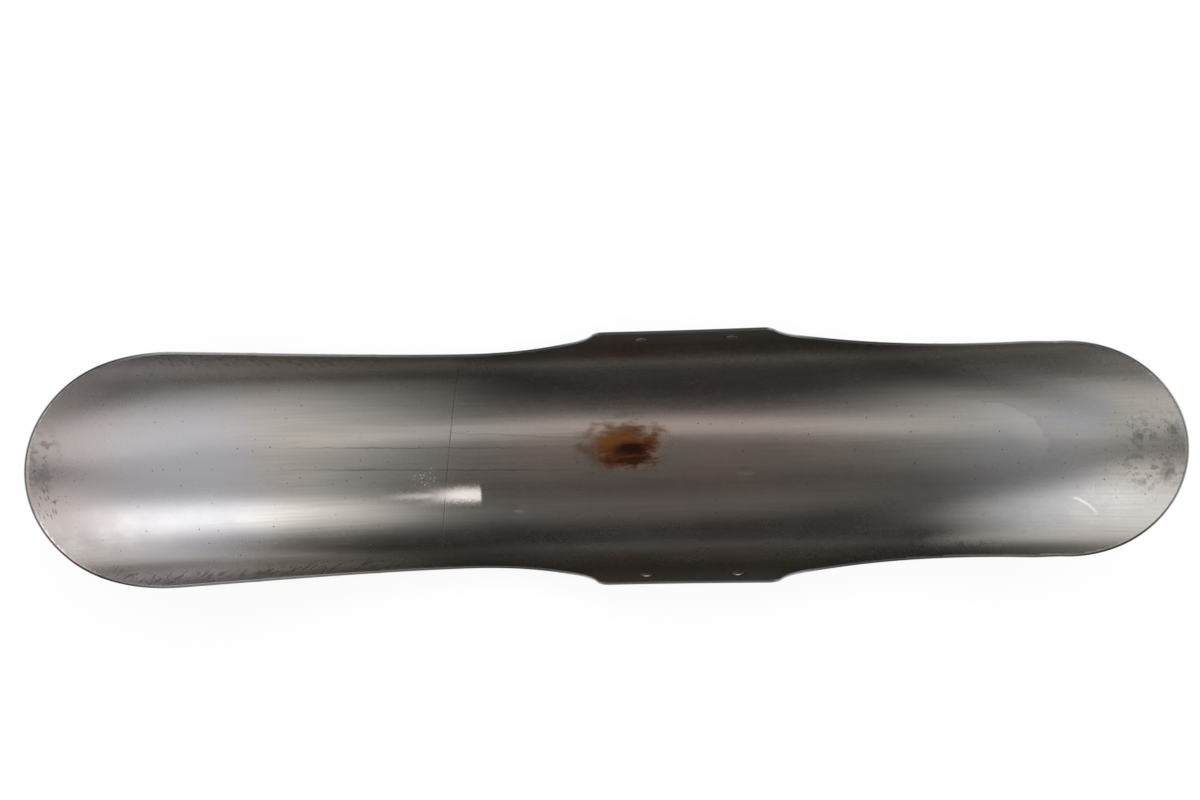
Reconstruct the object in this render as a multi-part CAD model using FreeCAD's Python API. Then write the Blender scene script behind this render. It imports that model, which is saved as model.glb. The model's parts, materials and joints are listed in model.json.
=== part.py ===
"""Motorcycle front fender: one sheet of steel, pressed to a round trough, trimmed and punched.

The sheet is measured the way it is taped on a bench. A station runs along the crown line, ahead (+) or
behind (-) of the fork ears, and a girth runs round the section from the crown line. Both lie on the outer face.
The fender lies on its crown with the hollow side up, at the angle where it balances. X runs forward.
"""
import FreeCAD, Part
import math
import os

from FreeCAD import Vector

# Sheet
sheet_thickness = 1.5

# Section of the trough: a flat crown, rounder shoulders, then upright walls that lean out a little
crown_to_axle = 358.5
crown_radius = 80.0
crown_half_angle = math.radians(35.0)
shoulder_radius = 46.5
wall_lean = math.radians(10.0)

# Ends, each a half round of the sheet
rear_length = 404.0
rear_end_radius = 74.5
front_length = 295.0
front_end_radius = 64.0

# Skirts: the narrowest stations behind and ahead of the ears
rear_waist_station = 143.5
rear_waist_girth = 70.8
front_waist_station = 208.0
front_waist_girth = 65.3

# Fork ears, with the sweep of the sheet that runs up to each of their corners
ear_girth = 110.5
ear_length = 98.0
ear_corner_round = 6.0
rear_sweep_lean = 10.5
front_sweep_lean = 4.5

# Bolt holes in each ear
hole_radius = 3.5
hole_spacing = 50.8
hole_edge_distance = 16.0

# Trimming
trim_overrun = 4.0
trim_steps = 18

shoulder_angle = math.pi / 2 - wall_lean
crown_girth = crown_radius * crown_half_angle
shoulder_girth = crown_girth + shoulder_radius * (shoulder_angle - crown_half_angle)


def section_angle(girth):
    """Angle of the section's outward normal off the crown's own normal."""
    if girth <= crown_girth:
        return girth / crown_radius
    if girth <= shoulder_girth:
        return crown_half_angle + (girth - crown_girth) / shoulder_radius
    return shoulder_angle


def section_point(girth, lift=0.0):
    """Half width and depth of the section at a girth, moved along the outward normal by a lift."""
    angle = section_angle(girth)
    crown_part = min(angle, crown_half_angle)
    width = crown_radius * math.sin(crown_part)
    depth = crown_radius * (1 - math.cos(crown_part))
    width += shoulder_radius * (math.sin(angle) - math.sin(crown_part))
    depth += shoulder_radius * (math.cos(crown_part) - math.cos(angle))
    wall = max(girth - shoulder_girth, 0.0)
    width += wall * math.cos(angle) + lift * math.sin(angle)
    depth += wall * math.sin(angle) - lift * math.cos(angle)
    return width, depth


def sheet_point(station, girth, lift=0.0):
    """Point of the sheet, with the ears' middle lowest and the axle straight above it."""
    width, depth = section_point(abs(girth), lift)
    turn = station / crown_to_axle
    reach = crown_to_axle - depth
    return Vector(reach * math.sin(turn), math.copysign(width, girth), crown_to_axle - reach * math.cos(turn))


def section_line(lift):
    """Edges of the whole section from rim to rim at a lift, across the crown."""
    def at(girth):
        width, depth = section_point(abs(girth), lift)
        return Vector(0, math.copysign(width, girth), depth)

    rim_girth = ear_girth + trim_overrun
    middle_girth = (crown_girth + shoulder_girth) / 2
    return [
        Part.makeLine(at(-rim_girth), at(-shoulder_girth)),
        Part.Arc(at(-shoulder_girth), at(-middle_girth), at(-crown_girth)).toShape(),
        Part.Arc(at(-crown_girth), at(0), at(crown_girth)).toShape(),
        Part.Arc(at(crown_girth), at(middle_girth), at(shoulder_girth)).toShape(),
        Part.makeLine(at(shoulder_girth), at(rim_girth)),
    ]


def pressed_blank():
    """The trough as it leaves the press: full depth and over length, before trimming."""
    outer = Part.Wire(section_line(0.0))
    inner = Part.Wire(section_line(-sheet_thickness))
    ends = zip(outer.OrderedVertexes[::len(outer.Edges)], inner.OrderedVertexes[::len(inner.Edges)])
    rims = [Part.makeLine(outside.Point, inside.Point) for outside, inside in ends]
    section = Part.Face(Part.Wire(Part.sortEdges(outer.Edges + inner.Edges + rims)[0]))
    axle = Vector(0, 0, crown_to_axle)
    behind = math.degrees((rear_length + trim_overrun) / crown_to_axle)
    ahead = math.degrees((front_length + trim_overrun) / crown_to_axle)
    section.rotate(axle, Vector(0, 1, 0), behind)
    return section.revolve(axle, Vector(0, -1, 0), behind + ahead)


def half_round(tip, radius, direction):
    """Round end of the sheet, from the shoulder on one side, by the tip on the crown line, to the other."""
    def along(t):
        angle = (t - 0.5) * math.pi
        return tip + direction * radius * (1 - math.cos(angle)), radius * math.sin(angle)

    return along


def ease(start, end):
    """Smooth change of girth between two stations, level at both."""
    def along(t):
        share = t * t * (3 - 2 * t)
        return start[0] + (end[0] - start[0]) * t, start[1] + (end[1] - start[1]) * share

    return along


def bend(start, corner, end):
    """Curve that leaves its start towards a corner and reaches its end from that corner."""
    def along(t):
        weights = ((1 - t) ** 2, 2 * t * (1 - t), t * t)
        points = (start, corner, end)
        return tuple(sum(weight * point[i] for weight, point in zip(weights, points)) for i in (0, 1))

    return along


def straight(start, end):
    """Straight stretch of the outline."""
    def along(t):
        return tuple(start[i] + (end[i] - start[i]) * t for i in (0, 1))

    return along


def ear_side(direction, sweep_lean, waist):
    """Rim end, rounded corner and sweep of one side of an ear, from the rim out to the waist."""
    rim_reach = crown_to_axle - section_point(ear_girth)[1]
    to_station = crown_to_axle / rim_reach
    corner = (direction * ear_length / 2 * to_station, ear_girth)
    toe = (corner[0] + direction * sweep_lean, waist[1])
    fall = ear_corner_round / math.hypot(toe[0] - corner[0], toe[1] - corner[1])
    below = straight(corner, toe)(fall)
    rim_end = (corner[0] - direction * ear_corner_round * to_station, ear_girth)
    return rim_end, bend(rim_end, corner, below), bend(below, toe, waist)


def reverse(curve):
    """The same stretch of outline, run the other way."""
    return lambda t: curve(1 - t)


def side_outline():
    """Stretches of the trimmed outline of one side, from the rear end to the front end."""
    rear_shoulder = (rear_end_radius - rear_length, rear_end_radius)
    front_shoulder = (front_length - front_end_radius, front_end_radius)
    rear_waist = (-rear_waist_station, rear_waist_girth)
    front_waist = (front_waist_station, front_waist_girth)
    rear_rim, rear_corner, rear_sweep = ear_side(-1, rear_sweep_lean, rear_waist)
    front_rim, front_corner, front_sweep = ear_side(1, front_sweep_lean, front_waist)
    return [
        ease(rear_shoulder, rear_waist),
        reverse(rear_sweep),
        reverse(rear_corner),
        straight(rear_rim, front_rim),
        front_corner,
        front_sweep,
        ease(front_waist, front_shoulder),
    ]


def trim_wall(curve, side=1):
    """Wall that cuts the sheet square to its face along one stretch of the outline."""
    def edge(lift):
        stretch = [curve(i / trim_steps) for i in range(trim_steps + 1)]
        points = [sheet_point(station, side * girth, lift) for station, girth in stretch]
        spline = Part.BSplineCurve()
        spline.interpolate(points)
        return spline.toShape()

    return Part.makeRuledSurface(edge(trim_overrun), edge(-sheet_thickness - trim_overrun))


def trimmed_sheet():
    """The pressed blank cut to its outline: the piece that holds the crown is kept."""
    ends = [half_round(-rear_length, rear_end_radius, 1), half_round(front_length, front_end_radius, -1)]
    walls = [trim_wall(end) for end in ends]
    walls += [trim_wall(curve, side) for side in (-1, 1) for curve in side_outline()]
    pieces = pressed_blank().generalFuse(walls)[0].Solids
    crown = sheet_point(0.0, 0.0, -sheet_thickness / 2)
    return next(piece for piece in pieces if piece.isInside(crown, sheet_thickness / 10, False))


def bolt_hole(along, side):
    """Punch for one hole of an ear, square to the ear's wall."""
    width, depth = section_point(ear_girth - hole_edge_distance)
    normal = Vector(0, side * math.sin(shoulder_angle), -math.cos(shoulder_angle))
    centre = Vector(along, side * width, depth)
    start = centre - normal * (sheet_thickness + trim_overrun)
    return Part.makeCylinder(hole_radius, sheet_thickness + 2 * trim_overrun, start, normal)


def front_fender():
    """The finished sheet, turned about the axle until it balances and set on the ground."""
    holes = [bolt_hole(along, side) for side in (-1, 1) for along in (-hole_spacing / 2, hole_spacing / 2)]
    sheet = trimmed_sheet().cut(holes).Solids[0]
    axle = Vector(0, 0, crown_to_axle)
    arm = sheet.CenterOfMass - axle
    sheet.rotate(axle, Vector(0, 1, 0), math.degrees(math.atan2(arm.x, -arm.z)))
    box = sheet.optimalBoundingBox(False, False)
    sheet.translate(Vector(-box.Center.x, 0, -box.ZMin))
    return sheet


os.makedirs("parts", exist_ok=True)
front_fender().exportStep("parts/front_fender.step")
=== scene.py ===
"""Motorcycle front fender of bare steel sheet, lying on its crown with the hollow side up.

The sheet is cut flat, in stations along the crown line and girths round the section, both in millimetres.
Then it is thickened, deburred and bent to the trough. Its steel carries the marks of rolling, pressing and storage.
"""

import json
import logging
import math
from dataclasses import dataclass, field
from enum import Enum
from typing import Any, Iterable, Optional, Union

import bmesh
import bpy
from mathutils import Matrix, Vector, geometry, kdtree, noise


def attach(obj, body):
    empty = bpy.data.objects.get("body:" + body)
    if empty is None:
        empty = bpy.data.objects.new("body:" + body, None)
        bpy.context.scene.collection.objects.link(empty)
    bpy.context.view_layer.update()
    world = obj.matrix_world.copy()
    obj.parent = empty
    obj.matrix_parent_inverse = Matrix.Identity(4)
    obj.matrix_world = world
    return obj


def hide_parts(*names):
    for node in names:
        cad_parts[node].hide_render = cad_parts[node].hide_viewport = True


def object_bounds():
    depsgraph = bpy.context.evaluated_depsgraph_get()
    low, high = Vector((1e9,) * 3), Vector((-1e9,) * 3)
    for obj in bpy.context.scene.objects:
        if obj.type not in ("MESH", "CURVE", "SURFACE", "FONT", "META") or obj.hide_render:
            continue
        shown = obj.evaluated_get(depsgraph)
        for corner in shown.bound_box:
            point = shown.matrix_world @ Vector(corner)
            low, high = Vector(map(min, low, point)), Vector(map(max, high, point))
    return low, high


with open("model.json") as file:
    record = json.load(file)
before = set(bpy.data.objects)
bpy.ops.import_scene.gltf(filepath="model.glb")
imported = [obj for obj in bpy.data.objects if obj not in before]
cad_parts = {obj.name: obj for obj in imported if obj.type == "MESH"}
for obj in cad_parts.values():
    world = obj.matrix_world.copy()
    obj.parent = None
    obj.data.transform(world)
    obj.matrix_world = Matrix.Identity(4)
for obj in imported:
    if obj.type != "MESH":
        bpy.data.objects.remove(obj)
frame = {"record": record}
cad_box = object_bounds()

LOG = logging.getLogger("front_fender")
MM = 0.001
NODE = "front_fender"
BODY = "root"

Number = Union[float, "Val"]
Colour = tuple[float, float, float, float]
Flat = tuple[float, float]
Side = tuple[float, float, float]


def put(name: str, data: Any) -> bpy.types.Object:
    """Puts a new object in the scene, at the origin.

    Args:
        name: name of the object.
        data: its mesh, lamp or camera.

    Returns:
        The object.
    """
    made = bpy.data.objects.new(name, data)
    bpy.context.scene.collection.objects.link(made)
    return made


def put_mesh(name: str, mesh: bmesh.types.BMesh) -> bpy.types.Object:
    """Puts a finished mesh in the scene, and frees its working copy.

    Args:
        name: name of the object.
        mesh: the working mesh.

    Returns:
        The object.
    """
    data = bpy.data.meshes.new(name)
    mesh.to_mesh(data)
    mesh.free()
    return put(name, data)


class Socket(str, Enum):
    """Sockets of the Mix node, by the names that Blender keeps for them."""

    FACTOR = "Factor_Float"
    FIRST = "A_Color"
    SECOND = "B_Color"
    RESULT = "Result_Color"


class Val:
    """A number that varies over a surface, so that shader maths reads as an expression."""

    def __init__(self, shader: "Shader", socket: bpy.types.NodeSocket) -> None:
        """Wraps an output socket of a shader's node."""
        self.shader = shader
        self.socket = socket

    def _math(self, operation: str, *operands: Number) -> "Val":
        """Adds one Math node.

        Args:
            operation: Blender's name of the operation.
            operands: values or numbers, in the node's order.

        Returns:
            The node's result.
        """
        node = self.shader.node("ShaderNodeMath", {"operation": operation}, dict(enumerate(operands)))
        return Val(self.shader, node.outputs[0])

    def __add__(self, other: Number) -> "Val":
        """Sum of two values."""
        return self._math("ADD", self, other)

    __radd__ = __add__

    def __sub__(self, other: Number) -> "Val":
        """This value less the other."""
        return self._math("SUBTRACT", self, other)

    def __rsub__(self, other: Number) -> "Val":
        """The other value less this."""
        return self._math("SUBTRACT", other, self)

    def __mul__(self, other: Number) -> "Val":
        """Product of two values."""
        return self._math("MULTIPLY", self, other)

    __rmul__ = __mul__

    def __truediv__(self, other: Number) -> "Val":
        """This value over the other."""
        return self._math("DIVIDE", self, other)

    def __abs__(self) -> "Val":
        """Size of the value."""
        return self._math("ABSOLUTE", self)

    def __pow__(self, other: Number) -> "Val":
        """This value to a power."""
        return self._math("POWER", self, other)

    def root(self) -> "Val":
        """Square root of the value."""
        return self._math("SQRT", self)

    def hypot(self, other: Number) -> "Val":
        """Length of the two values as sides of a right angle."""
        return (self * self + other * other).root()

    def angle(self, other: Number) -> "Val":
        """Angle whose tangent is this value over the other, in radians."""
        return self._math("ARCTAN2", self, other)

    def most(self, other: Number) -> "Val":
        """The larger of two values."""
        return self._math("MAXIMUM", self, other)

    def rise(self, start: float, end: float) -> "Val":
        """Smooth step of the value.

        Args:
            start: value at which the step is 0.
            end: value at which the step is 1, which may be below start.

        Returns:
            The step, from 0 to 1.
        """
        low, high = min(start, end), max(start, end)
        node = self.shader.node(
            "ShaderNodeMapRange",
            {"interpolation_type": "SMOOTHSTEP", "clamp": True},
            {"Value": self, "From Min": low, "From Max": high},
        )
        step = Val(self.shader, node.outputs[0])
        return step if start < end else 1 - step

    def between(self, low: float, high: float, soft: float) -> "Val":
        """Mask of the values between two limits, with soft ends of a given width."""
        return self.rise(low - soft, low + soft) * self.rise(high + soft, high - soft)


class Shader:
    """The node tree of one material, or of the room, and the making of its nodes."""

    def __init__(self, owner: Union[bpy.types.Material, bpy.types.World]) -> None:
        """Starts an empty tree on a material or a world.

        Args:
            owner: the material or the world.
        """
        owner.use_nodes = True
        self.owner = owner
        self.tree = owner.node_tree
        self.tree.nodes.clear()

    def node(self, kind: str, settings: dict[str, Any], sockets: dict[Any, Any]) -> bpy.types.Node:
        """Adds any node.

        Args:
            kind: Blender's type of the node.
            settings: properties, set first.
            sockets: input by name, identifier or index, with a number, a colour, a value or an output to link.

        Returns:
            The new node.
        """
        made = self.tree.nodes.new(kind)
        for key, setting in settings.items():
            setattr(made, key, setting)
        for key, given in sockets.items():
            socket = self._input(made, key)
            if isinstance(given, Val):
                self.tree.links.new(given.socket, socket)
            elif isinstance(given, bpy.types.NodeSocket):
                self.tree.links.new(given, socket)
            else:
                socket.default_value = given
        return made

    @staticmethod
    def _input(made: bpy.types.Node, key: Any) -> bpy.types.NodeSocket:
        """Finds a node's input by index, identifier or name.

        Args:
            made: the node.
            key: index, identifier or name.

        Returns:
            The input.
        """
        if isinstance(key, int):
            return made.inputs[key]
        for socket in made.inputs:
            if socket.identifier == key:
                return socket
        return made.inputs[key]

    def value(self, made: bpy.types.Node, key: Union[int, str] = 0) -> Val:
        """Wraps one output of a node."""
        return Val(self, made.outputs[key])

    def mix(self, first: Any, second: Any, share: Number) -> bpy.types.NodeSocket:
        """Blends two colours.

        Args:
            first: colour or output at share 0.
            second: colour or output at share 1.
            share: how much of the second shows.

        Returns:
            The blended colour's output.
        """
        made = self.node(
            "ShaderNodeMix",
            {"data_type": "RGBA", "clamp_factor": True},
            {Socket.FACTOR.value: share, Socket.FIRST.value: first, Socket.SECOND.value: second},
        )
        return next(out for out in made.outputs if out.identifier == Socket.RESULT.value)

    def tone(self, colour: bpy.types.NodeSocket, gain: Val) -> bpy.types.NodeSocket:
        """Makes a colour lighter or darker by a varying gain.

        Args:
            colour: the colour's output.
            gain: what it is multiplied by.

        Returns:
            The new colour's output.
        """
        triple = self.node("ShaderNodeCombineXYZ", {}, {0: gain, 1: gain, 2: gain})
        made = self.node("ShaderNodeVectorMath", {"operation": "MULTIPLY"}, {0: colour, 1: triple.outputs[0]})
        return made.outputs[0]


@dataclass(frozen=True)
class Section:
    """Section of the trough, in millimetres: a flat crown, rounder shoulders and walls that lean out."""

    crown_to_axle: float = 358.5
    crown_radius: float = 80.0
    crown_half_angle: float = math.radians(35.0)
    shoulder_radius: float = 46.5
    wall_lean: float = math.radians(10.0)

    @property
    def shoulder_angle(self) -> float:
        """Angle of the wall's normal off the crown's."""
        return math.pi / 2 - self.wall_lean

    @property
    def crown_girth(self) -> float:
        """Girth at which the crown meets the shoulder."""
        return self.crown_radius * self.crown_half_angle

    @property
    def shoulder_girth(self) -> float:
        """Girth at which the shoulder meets the wall."""
        return self.crown_girth + self.shoulder_radius * (self.shoulder_angle - self.crown_half_angle)

    def angle(self, girth: float) -> float:
        """Angle of the section's outward normal at a girth.

        Args:
            girth: distance round the outer face from the crown line, not negative.

        Returns:
            The angle, in radians.
        """
        if girth <= self.crown_girth:
            return girth / self.crown_radius
        shoulder = min(girth, self.shoulder_girth) - self.crown_girth
        return self.crown_half_angle + shoulder / self.shoulder_radius

    def point(self, girth: float, lift: float = 0.0) -> Flat:
        """Half width and depth of the section.

        Args:
            girth: distance round the outer face from the crown line, not negative.
            lift: distance along the outward normal.

        Returns:
            Half width and depth below the crown.
        """
        angle = self.angle(girth)
        crown = min(angle, self.crown_half_angle)
        wall = max(girth - self.shoulder_girth, 0.0)
        width = self.crown_radius * math.sin(crown) + self.shoulder_radius * (math.sin(angle) - math.sin(crown))
        depth = self.crown_radius * (1 - math.cos(crown)) + self.shoulder_radius * (math.cos(crown) - math.cos(angle))
        width += wall * math.cos(angle) + lift * math.sin(angle)
        depth += wall * math.sin(angle) - lift * math.cos(angle)
        return width, depth

    def shrink(self, girth: float) -> float:
        """Length on the sheet at a girth, for each millimetre of station on the crown line."""
        return (self.crown_to_axle - self.point(abs(girth))[1]) / self.crown_to_axle

    def place(self, station: float, girth: float, lift: float) -> Vector:
        """Place of a point of the sheet, in metres, with station 0 lowest.

        Args:
            station: distance along the crown line.
            girth: distance round the section.
            lift: distance along the outward normal.

        Returns:
            The place.
        """
        width, depth = self.point(abs(girth), lift)
        turn = station / self.crown_to_axle
        reach = self.crown_to_axle - depth
        up = self.crown_to_axle - reach * math.cos(turn)
        return Vector((reach * math.sin(turn), math.copysign(width, girth), up)) * MM


@dataclass(frozen=True)
class Outline:
    """Trim line of one side of the flat sheet, in millimetres, with the fork ears' middle at station 0."""

    section: Section
    rear_length: float = 404.0
    rear_end_radius: float = 74.5
    front_length: float = 295.0
    front_end_radius: float = 64.0
    rear_waist: Flat = (-143.5, 70.8)
    front_waist: Flat = (208.0, 65.3)
    ear_girth: float = 110.5
    ear_length: float = 98.0
    ear_corner_round: float = 6.0
    rear_sweep_lean: float = 10.5
    front_sweep_lean: float = 4.5

    def ease(self, start: Flat, end: Flat, share: float) -> Flat:
        """Point of a smooth change of girth between two stations, level at both."""
        blend = share * share * (3 - 2 * share)
        return start[0] + (end[0] - start[0]) * share, start[1] + (end[1] - start[1]) * blend

    def bend(self, start: Flat, corner: Flat, end: Flat, share: float) -> Flat:
        """Point of a curve that leaves its start towards a corner and reaches its end from there."""
        first, middle, last = (1 - share) ** 2, 2 * share * (1 - share), share * share
        return tuple(first * start[i] + middle * corner[i] + last * end[i] for i in (0, 1))

    def ear_side(self, way: int, lean: float, waist: Flat) -> tuple[Flat, Flat, Flat, Flat]:
        """Corners that shape one side of an ear.

        Args:
            way: 1 for the side ahead of the ear, -1 for the side behind it.
            lean: station that the sweep gains on its way down.
            waist: end of the sweep.

        Returns:
            End of the straight rim, sharp corner, end of the corner's round, and toe of the sweep.
        """
        stretch = 1 / self.section.shrink(self.ear_girth)
        corner = (way * self.ear_length / 2 * stretch, self.ear_girth)
        toe = (corner[0] + way * lean, waist[1])
        fall = self.ear_corner_round / math.dist(corner, toe)
        below = tuple(corner[i] + (toe[i] - corner[i]) * fall for i in (0, 1))
        rim = (corner[0] - way * self.ear_corner_round * stretch, self.ear_girth)
        return rim, corner, below, toe


class Scriber:
    """Draws the trim line: a vertex that is drawn out along curves, one step after another."""

    def __init__(self, mesh: bmesh.types.BMesh, start: Flat) -> None:
        """Sets the scriber down on a mesh at a flat point."""
        self.mesh = mesh
        self.tip = bmesh.ops.create_vert(mesh, co=(*start, 0.0))["vert"][0]

    def to(self, point: Flat) -> None:
        """Draws a straight step to a flat point.

        Args:
            point: station and girth of the point.
        """
        drawn = bmesh.ops.extrude_vert_indiv(self.mesh, verts=[self.tip])
        self.tip = drawn["verts"][0]
        self.tip.co = (*point, 0.0)

    def along(self, points: Iterable[Flat]) -> None:
        """Draws a step to each of the points."""
        for point in points:
            self.to(point)

    def round(self, centre: Flat, angle: float, steps: int) -> None:
        """Swings the scriber about a centre by an angle.

        Args:
            centre: station and girth of the centre.
            angle: the swing, in radians.
            steps: straight steps that it takes.
        """
        swung = bmesh.ops.spin(
            self.mesh,
            geom=[self.tip],
            cent=(*centre, 0.0),
            axis=(0.0, 0.0, 1.0),
            angle=angle,
            steps=steps,
            use_merge=False,
        )
        self.tip = next(item for item in swung["geom_last"] if isinstance(item, bmesh.types.BMVert))


@dataclass(frozen=True)
class Dent:
    """One soft dent of the sheet: place and size in millimetres, depth towards the hollow side."""

    station: float
    girth: float
    reach_along: float
    reach_across: float
    depth: float

    def at(self, station: float, girth: float) -> float:
        """Depth of the dent at a point of the sheet.

        Args:
            station: station of the point.
            girth: girth of the point.

        Returns:
            The depth, in millimetres.
        """
        along = (station - self.station) / self.reach_along
        across = (girth - self.girth) / self.reach_across
        return self.depth * math.exp(-(along * along + across * across))


@dataclass
class Fender:
    """The fender: one sheet, trimmed, punched, thickened, deburred and bent. Sizes are in millimetres."""

    section: Section = field(default_factory=Section)
    sheet_thickness: float = 1.5
    cell: float = 2.2
    rim_strip: float = 1.2
    deburr: float = 0.25
    hole_deburr: float = 0.08
    hole_radius: float = 3.5
    hole_spacing: float = 50.8
    hole_edge_distance: float = 16.0
    hole_cells: float = 8.6
    waviness: float = 0.10
    wave_length: float = 70.0
    wave_girth_share: float = 1.6
    wave_seed: float = 3.7
    corner_steps_length: float = 18.0
    fewest_steps: int = 4
    join_gap: float = 0.02
    cut_gap: float = 1e-4
    rim_margin: float = 1.0
    sharp_edge: float = math.radians(60.0)
    smooth_below: float = math.radians(50.0)
    dents: tuple[Dent, ...] = (
        Dent(-52.3, -31.0, 3.2, 2.4, 0.35),
        Dent(81.2, -11.2, 2.6, 2.6, 0.28),
        Dent(-84.0, -20.0, 13.0, 7.0, 0.22),
        Dent(-20.0, 12.0, 26.0, 10.0, 0.10),
    )

    def __post_init__(self) -> None:
        """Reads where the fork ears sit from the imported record."""
        mount = next(m for m in frame["record"]["mounts"] if m["name"] == "fork_ear_right")
        self.outline = Outline(self.section)
        turn = math.atan2(mount["axis"][0], -mount["axis"][2])
        self.ear_station = turn * self.section.crown_to_axle

    def trim_line(self, mesh: bmesh.types.BMesh) -> None:
        """Draws the whole trim line as a closed loop of edges on an empty mesh.

        Args:
            mesh: the working mesh, flat and in millimetres.
        """
        line = self.outline
        step = self.cell
        rear_shoulder = (line.rear_end_radius - line.rear_length, line.rear_end_radius)
        front_shoulder = (line.front_length - line.front_end_radius, line.front_end_radius)
        rear = line.ear_side(-1, line.rear_sweep_lean, line.rear_waist)
        front = line.ear_side(1, line.front_sweep_lean, line.front_waist)
        quarter = math.pi / 2

        def shares(length: float) -> list[float]:
            """Even shares of a stretch, about one cell apart."""
            count = max(self.fewest_steps, round(length / step))
            return [(i + 1) / count for i in range(count)]

        pen = Scriber(mesh, (-line.rear_length, 0.0))
        pen.round((rear_shoulder[0], 0.0), -quarter, round(quarter * line.rear_end_radius / step))
        long = shares(math.dist(rear_shoulder, line.rear_waist))
        pen.along(line.ease(rear_shoulder, line.rear_waist, t) for t in long)
        sweep = shares(math.dist(line.rear_waist, rear[3]) + math.dist(rear[3], rear[2]))
        pen.along(line.bend(line.rear_waist, rear[3], rear[2], t) for t in sweep)
        pen.along(line.bend(rear[2], rear[1], rear[0], t) for t in shares(self.corner_steps_length))
        rim = shares(math.dist(rear[0], front[0]))
        pen.along((rear[0][0] + (front[0][0] - rear[0][0]) * t, line.ear_girth) for t in rim)
        pen.along(line.bend(front[0], front[1], front[2], t) for t in shares(self.corner_steps_length))
        sweep = shares(math.dist(line.front_waist, front[3]) + math.dist(front[3], front[2]))
        pen.along(line.bend(front[2], front[3], line.front_waist, t) for t in sweep)
        long = shares(math.dist(line.front_waist, front_shoulder))
        pen.along(line.ease(line.front_waist, front_shoulder, t) for t in long)
        pen.round((front_shoulder[0], 0.0), -quarter, round(quarter * line.front_end_radius / step))
        pen.tip.co.y = 0.0
        bmesh.ops.mirror(mesh, geom=mesh.verts[:] + mesh.edges[:], axis="Y", merge_dist=self.join_gap / 2)
        bmesh.ops.remove_doubles(mesh, verts=mesh.verts, dist=self.join_gap)

    def cut_cells(self, mesh: bmesh.types.BMesh) -> None:
        """Divides the sheet inside its rim strip into square cells.

        Args:
            mesh: the working mesh, flat and in millimetres.
        """
        sheet = max(mesh.faces, key=lambda face: face.calc_area())
        strips = [sheet]
        rows = int(self.outline.ear_girth / self.cell)
        for row in range(-rows, rows + 1):
            place = Vector((0.0, (row + 0.5) * self.cell, 0.0))
            strips = self._cut(mesh, strips, place, Vector((0.0, 1.0, 0.0)))
        first = int(-self.outline.rear_length / self.cell)
        last = int(self.outline.front_length / self.cell)
        ahead = strips
        for column in range(first, last + 1):
            place = Vector(((column + 0.5) * self.cell, 0.0, 0.0))
            parts = self._cut(mesh, ahead, place, Vector((1.0, 0.0, 0.0)))
            ahead = [face for face in parts if face.calc_center_bounds().x > place.x]

    def _cut(self, mesh: bmesh.types.BMesh, faces: list, place: Vector, normal: Vector) -> list:
        """Cuts some faces along a line.

        Args:
            mesh: mesh that holds the faces.
            faces: faces that may be cut.
            place: point of the line.
            normal: direction across the line.

        Returns:
            The faces and their new parts.
        """
        edges = {edge for face in faces for edge in face.edges}
        verts = {vert for face in faces for vert in face.verts}
        made = bmesh.ops.bisect_plane(
            mesh, geom=[*verts, *edges, *faces], dist=self.cut_gap, plane_co=place, plane_no=normal
        )
        return [item for item in made["geom"] if isinstance(item, bmesh.types.BMFace)]

    def punch(self, mesh: bmesh.types.BMesh) -> None:
        """Punches two bolt holes in each ear: square windows in the cells, bridged to round holes.

        Args:
            mesh: the working mesh, flat and in millimetres.
        """
        girth = self.outline.ear_girth - self.hole_edge_distance
        stretch = 1 / self.section.shrink(girth)
        half = self.hole_cells * self.cell / 2
        for side in (-1, 1):
            for along in (-self.hole_spacing / 2, self.hole_spacing / 2):
                centre = Vector((along * stretch, side * girth, 0.0))
                window = [
                    face
                    for face in mesh.faces
                    if max(abs(offset) for offset in (face.calc_center_median() - centre).xy) < half
                ]
                bmesh.ops.delete(mesh, geom=window, context="FACES")
                rim = [
                    edge
                    for edge in mesh.edges
                    if edge.is_boundary and ((edge.verts[0].co + edge.verts[1].co) / 2 - centre).length < 2 * half
                    and abs(edge.verts[0].co.y) < self.outline.ear_girth - self.rim_margin
                ]
                shape = Matrix.Translation(centre) @ Matrix.Diagonal((stretch, 1.0, 1.0, 1.0))
                ring = bmesh.ops.create_circle(
                    mesh, cap_ends=False, radius=self.hole_radius, segments=len(rim), matrix=shape
                )
                round_edges = {edge for vert in ring["verts"] for edge in vert.link_edges}
                bmesh.ops.bridge_loops(mesh, edges=rim + list(round_edges))

    def thicken(self, mesh: bmesh.types.BMesh) -> None:
        """Gives the flat sheet its thickness and takes the burr off its edges.

        Args:
            mesh: the working mesh, flat and in millimetres.
        """
        copied = bmesh.ops.extrude_face_region(mesh, geom=mesh.faces[:], use_keep_orig=True)
        inner = [item for item in copied["geom"] if isinstance(item, bmesh.types.BMVert)]
        bmesh.ops.translate(mesh, verts=inner, vec=(0.0, 0.0, -self.sheet_thickness))
        bmesh.ops.recalc_face_normals(mesh, faces=mesh.faces)
        sharp = [edge for edge in mesh.edges if edge.calc_face_angle(0.0) > self.sharp_edge]
        holes = [edge for edge in sharp if all(self._in_ear(vert.co) for vert in edge.verts)]
        in_holes = set(holes)
        trims = [edge for edge in sharp if edge not in in_holes]
        for edges, offset in ((trims, self.deburr), (holes, self.hole_deburr)):
            bmesh.ops.bevel(mesh, geom=edges, offset=offset, affect="EDGES", segments=2, profile=0.5, material=-1)

    def _in_ear(self, place: Vector) -> bool:
        """Tells whether a flat place lies between the two ears' rims, away from the trim line."""
        inside = abs(place.y) < self.outline.ear_girth - self.rim_margin
        return inside and abs(place.x) < self.outline.ear_length / 2

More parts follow.
